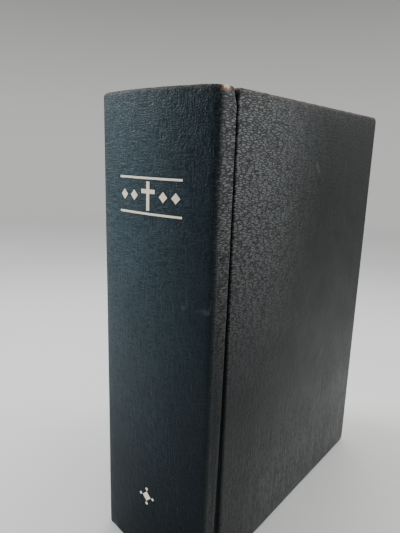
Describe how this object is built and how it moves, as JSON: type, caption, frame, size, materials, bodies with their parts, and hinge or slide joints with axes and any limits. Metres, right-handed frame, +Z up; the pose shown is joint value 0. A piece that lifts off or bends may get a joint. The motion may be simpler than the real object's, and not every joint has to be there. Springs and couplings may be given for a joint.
{
  "type": "bible",
  "caption": "Thick hardcover devotional book in dark leatherette with a rounded spine, hinged covers and sewn sections that fan open.",
  "frame": {"origin": "middle of the footprint on the surface that the book stands on", "axes": "+Z up the spine, -Y out of the spine, +Y out of the fore-edge, +X out of the front cover"},
  "size_m": [0.072, 0.1774, 0.24],
  "materials": {
    "leatherette": "grained leatherette with a soft sheen",
    "board": "grey bookbinder's board",
    "spine_card": "kraft card",
    "gauze": "open-weave mull stiffened with glue",
    "thread": "waxed sewing thread",
    "band": "woven two-colour end band",
    "gold_foil": "pale gold hot-stamped foil",
    "endpaper": "smooth off-white endpaper",
    "bible_paper": "thin off-white bible paper"
  },
  "bodies": {
    "spine": {"spine_leatherette": "leatherette", "spine_inlay": "spine_card", "spine_lining": "spine_card", "mull": "gauze", "sewing_thread": "thread", "headband": "band", "tailband": "band", "title_ornament": "gold_foil", "foot_ornament": "gold_foil"},
    "front_cover": {"front_board": "board", "front_cover_leatherette": "leatherette", "front_pastedown": "endpaper", "front_mull_flange": "gauze"},
    "front_endleaf": {"front_flyleaf": "endpaper"},
    "back_cover": {"back_board": "board", "back_cover_leatherette": "leatherette", "back_pastedown": "endpaper", "back_mull_flange": "gauze"},
    "back_endleaf": {"back_flyleaf": "endpaper"},
    "section_01": {"signature_01": "bible_paper"},
    "section_02": {"signature_02": "bible_paper"},
    "section_03": {"signature_03": "bible_paper"},
    "section_04": {"signature_04": "bible_paper"},
    "section_05": {"signature_05": "bible_paper"},
    "section_06": {"signature_06": "bible_paper"},
    "section_07": {"signature_07": "bible_paper"},
    "section_08": {"signature_08": "bible_paper"},
    "section_09": {"signature_09": "bible_paper"},
    "section_10": {"signature_10": "bible_paper"},
    "section_11": {"signature_11": "bible_paper"},
    "section_12": {"signature_12": "bible_paper"},
    "section_13": {"signature_13": "bible_paper"},
    "section_14": {"signature_14": "bible_paper"},
    "section_15": {"signature_15": "bible_paper"},
    "section_16": {"signature_16": "bible_paper"},
    "section_17": {"signature_17": "bible_paper"},
    "section_18": {"signature_18": "bible_paper"},
    "section_19": {"signature_19": "bible_paper"},
    "section_20": {"signature_20": "bible_paper"},
    "section_21": {"signature_21": "bible_paper"},
    "section_22": {"signature_22": "bible_paper"},
    "section_23": {"signature_23": "bible_paper"},
    "section_24": {"signature_24": "bible_paper"}
  },
  "joints": [
    {"name": "front_cover_hinge", "type": "hinge", "parent": "spine", "child": "front_cover", "pos_m": [0.0362, -0.08079, 0.12], "axis": [0, 0, -1], "range_deg": [0, 175]},
    {"name": "front_flyleaf_fold", "type": "hinge", "parent": "spine", "child": "front_endleaf", "pos_m": [0.03164, -0.08111, 0.12], "axis": [0, 0, -1], "range_deg": [0, 79]},
    {"name": "back_cover_hinge", "type": "hinge", "parent": "spine", "child": "back_cover", "pos_m": [-0.0362, -0.08079, 0.12], "axis": [0, 0, 1], "range_deg": [0, 175]},
    {"name": "back_flyleaf_fold", "type": "hinge", "parent": "spine", "child": "back_endleaf", "pos_m": [-0.03164, -0.08111, 0.12], "axis": [0, 0, 1], "range_deg": [0, 79]},
    {"name": "section_01_fold", "type": "hinge", "parent": "spine", "child": "section_01", "pos_m": [0.03019, -0.08143, 0.12], "axis": [0, 0, -1], "range_deg": [0, 46]},
    {"name": "section_02_fold", "type": "hinge", "parent": "spine", "child": "section_02", "pos_m": [0.02756, -0.08197, 0.12], "axis": [0, 0, -1], "range_deg": [0, 42]},
    {"name": "section_03_fold", "type": "hinge", "parent": "spine", "child": "section_03", "pos_m": [0.02494, -0.08246, 0.12], "axis": [0, 0, -1], "range_deg": [0, 38]},
    {"name": "section_04_fold", "type": "hinge", "parent": "spine", "child": "section_04", "pos_m": [0.02231, -0.0829, 0.12], "axis": [0, 0, -1], "range_deg": [0, 34]},
    {"name": "section_05_fold", "type": "hinge", "parent": "spine", "child": "section_05", "pos_m": [0.01969, -0.08329, 0.12], "axis": [0, 0, -1], "range_deg": [0, 30]},
    {"name": "section_06_fold", "type": "hinge", "parent": "spine", "child": "section_06", "pos_m": [0.01706, -0.08364, 0.12], "axis": [0, 0, -1], "range_deg": [0, 26]},
    {"name": "section_07_fold", "type": "hinge", "parent": "spine", "child": "section_07", "pos_m": [0.01444, -0.08393, 0.12], "axis": [0, 0, -1], "range_deg": [0, 22]},
    {"name": "section_08_fold", "type": "hinge", "parent": "spine", "child": "section_08", "pos_m": [0.01181, -0.08417, 0.12], "axis": [0, 0, -1], "range_deg": [0, 18]},
    {"name": "section_09_fold", "type": "hinge", "parent": "spine", "child": "section_09", "pos_m": [0.00919, -0.08436, 0.12], "axis": [0, 0, -1], "range_deg": [0, 14]},
    {"name": "section_10_fold", "type": "hinge", "parent": "spine", "child": "section_10", "pos_m": [0.00656, -0.08451, 0.12], "axis": [0, 0, -1], "range_deg": [0, 10]},
    {"name": "section_11_fold", "type": "hinge", "parent": "spine", "child": "section_11", "pos_m": [0.00394, -0.08461, 0.12], "axis": [0, 0, -1], "range_deg": [0, 6]},
    {"name": "section_12_fold", "type": "hinge", "parent": "spine", "child": "section_12", "pos_m": [0.00131, -0.08465, 0.12], "axis": [0, 0, -1], "range_deg": [0, 2]},
    {"name": "section_13_fold", "type": "hinge", "parent": "spine", "child": "section_13", "pos_m": [-0.00131, -0.08465, 0.12], "axis": [0, 0, 1], "range_deg": [0, 2]},
    {"name": "section_14_fold", "type": "hinge", "parent": "spine", "child": "section_14", "pos_m": [-0.00394, -0.08461, 0.12], "axis": [0, 0, 1], "range_deg": [0, 6]},
    {"name": "section_15_fold", "type": "hinge", "parent": "spine", "child": "section_15", "pos_m": [-0.00656, -0.08451, 0.12], "axis": [0, 0, 1], "range_deg": [0, 10]},
    {"name": "section_16_fold", "type": "hinge", "parent": "spine", "child": "section_16", "pos_m": [-0.00919, -0.08436, 0.12], "axis": [0, 0, 1], "range_deg": [0, 14]},
    {"name": "section_17_fold", "type": "hinge", "parent": "spine", "child": "section_17", "pos_m": [-0.01181, -0.08417, 0.12], "axis": [0, 0, 1], "range_deg": [0, 18]},
    {"name": "section_18_fold", "type": "hinge", "parent": "spine", "child": "section_18", "pos_m": [-0.01444, -0.08393, 0.12], "axis": [0, 0, 1], "range_deg": [0, 22]},
    {"name": "section_19_fold", "type": "hinge", "parent": "spine", "child": "section_19", "pos_m": [-0.01706, -0.08364, 0.12], "axis": [0, 0, 1], "range_deg": [0, 26]},
    {"name": "section_20_fold", "type": "hinge", "parent": "spine", "child": "section_20", "pos_m": [-0.01969, -0.08329, 0.12], "axis": [0, 0, 1], "range_deg": [0, 30]},
    {"name": "section_21_fold", "type": "hinge", "parent": "spine", "child": "section_21", "pos_m": [-0.02231, -0.0829, 0.12], "axis": [0, 0, 1], "range_deg": [0, 34]},
    {"name": "section_22_fold", "type": "hinge", "parent": "spine", "child": "section_22", "pos_m": [-0.02494, -0.08246, 0.12], "axis": [0, 0, 1], "range_deg": [0, 38]},
    {"name": "section_23_fold", "type": "hinge", "parent": "spine", "child": "section_23", "pos_m": [-0.02756, -0.08197, 0.12], "axis": [0, 0, 1], "range_deg": [0, 42]},
    {"name": "section_24_fold", "type": "hinge", "parent": "spine", "child": "section_24", "pos_m": [-0.03019, -0.08143, 0.12], "axis": [0, 0, 1], "range_deg": [0, 46]}
  ],
  "couplings": [
    {"joint": "front_flyleaf_fold", "follows": "front_cover_hinge", "ratio": 0.45},
    {"joint": "back_flyleaf_fold", "follows": "back_cover_hinge", "ratio": 0.45},
    {"joint": "section_01_fold", "follows": "front_cover_hinge", "ratio": 0.26},
    {"joint": "section_02_fold", "follows": "front_cover_hinge", "ratio": 0.2374},
    {"joint": "section_03_fold", "follows": "front_cover_hinge", "ratio": 0.2148},
    {"joint": "section_04_fold", "follows": "front_cover_hinge", "ratio": 0.1922},
    {"joint": "section_05_fold", "follows": "front_cover_hinge", "ratio": 0.1696},
    {"joint": "section_06_fold", "follows": "front_cover_hinge", "ratio": 0.147},
    {"joint": "section_07_fold", "follows": "front_cover_hinge", "ratio": 0.1243},
    {"joint": "section_08_fold", "follows": "front_cover_hinge", "ratio": 0.1017},
    {"joint": "section_09_fold", "follows": "front_cover_hinge", "ratio": 0.0791},
    {"joint": "section_10_fold", "follows": "front_cover_hinge", "ratio": 0.0565},
    {"joint": "section_11_fold", "follows": "front_cover_hinge", "ratio": 0.0339},
    {"joint": "section_12_fold", "follows": "front_cover_hinge", "ratio": 0.0113},
    {"joint": "section_13_fold", "follows": "back_cover_hinge", "ratio": 0.0113},
    {"joint": "section_14_fold", "follows": "back_cover_hinge", "ratio": 0.0339},
    {"joint": "section_15_fold", "follows": "back_cover_hinge", "ratio": 0.0565},
    {"joint": "section_16_fold", "follows": "back_cover_hinge", "ratio": 0.0791},
    {"joint": "section_17_fold", "follows": "back_cover_hinge", "ratio": 0.1017},
    {"joint": "section_18_fold", "follows": "back_cover_hinge", "ratio": 0.1243},
    {"joint": "section_19_fold", "follows": "back_cover_hinge", "ratio": 0.147},
    {"joint": "section_20_fold", "follows": "back_cover_hinge", "ratio": 0.1696},
    {"joint": "section_21_fold", "follows": "back_cover_hinge", "ratio": 0.1922},
    {"joint": "section_22_fold", "follows": "back_cover_hinge", "ratio": 0.2148},
    {"joint": "section_23_fold", "follows": "back_cover_hinge", "ratio": 0.2374},
    {"joint": "section_24_fold", "follows": "back_cover_hinge", "ratio": 0.26}
  ]
}
